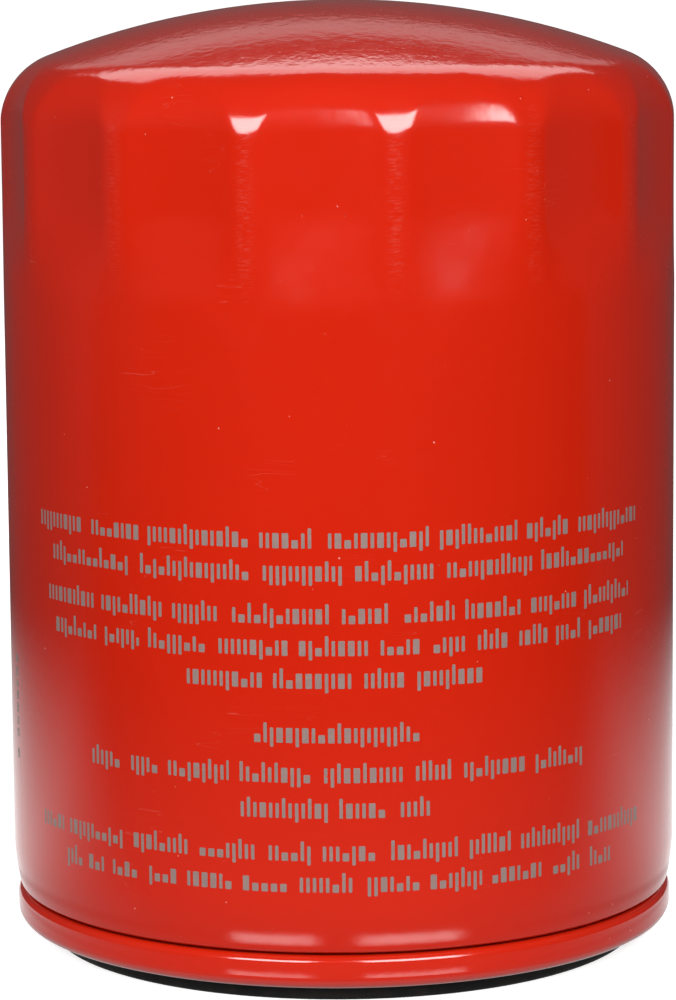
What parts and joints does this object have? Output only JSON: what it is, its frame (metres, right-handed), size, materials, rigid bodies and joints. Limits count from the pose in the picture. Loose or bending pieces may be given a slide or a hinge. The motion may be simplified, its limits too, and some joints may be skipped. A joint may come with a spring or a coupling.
{
  "type": "oil filter",
  "caption": "Spin-on oil filter: domed can with pressed wrench flats, rolled seam, rubber gasket, threaded base plate, pleated element, anti-drain and bypass valves.",
  "frame": {"origin": "centre of the gasket's sealing face, which the filter stands on", "axes": "+Z along the can's axis, from the gasket to the dome; -Y is the side with the print"},
  "size_m": [0.0928, 0.0928, 0.1303],
  "materials": {
    "red_paint": "gloss",
    "black_rubber": "matte",
    "plated_steel": "zinc plated",
    "tin_plate": "bright",
    "spring_steel": "drawn wire",
    "sealing_compound": "cured bead",
    "plastisol": "cast",
    "filter_paper": "resin impregnated",
    "valve_rubber": "moulded",
    "nylon": "moulded"
  },
  "bodies": {
    "housing": {"can": "red_paint", "gasket_retainer": "red_paint", "seam_sealant": "sealing_compound", "gasket": "black_rubber", "base_plate": "plated_steel", "hold_down_spring": "spring_steel"},
    "element": {"lower_end_cap": "tin_plate", "lower_adhesive_bed": "plastisol", "pleated_media": "filter_paper", "media_seam_clip": "tin_plate", "centre_tube": "tin_plate", "upper_adhesive_bed": "plastisol", "upper_end_cap": "tin_plate", "bypass_gasket": "black_rubber", "bypass_seat": "tin_plate", "bypass_cage": "tin_plate", "bypass_spring": "spring_steel"},
    "bypass_plunger": {"bypass_poppet": "nylon", "bypass_seal": "black_rubber"},
    "drain_valve": {"anti_drain_valve": "valve_rubber"}
  },
  "joints": [
    {"name": "element_lift", "type": "slide", "parent": "housing", "child": "element", "axis": [0, 0, 1], "range_m": [0, 0.002], "stiffness_N_per_m": 4000, "springref_m": -0.004, "deforming": ["hold_down_spring"]},
    {"name": "bypass_opening", "type": "slide", "parent": "element", "child": "bypass_plunger", "axis": [0, 0, -1], "range_m": [0, 0.003], "stiffness_N_per_m": 300, "springref_m": -0.0005, "deforming": ["bypass_spring"]},
    {"name": "drain_valve_lift", "type": "slide", "parent": "housing", "child": "drain_valve", "axis": [0, 0, 1], "range_m": [0, 0.0015], "stiffness_N_per_m": 100, "deforming": ["anti_drain_valve"]}
  ]
}
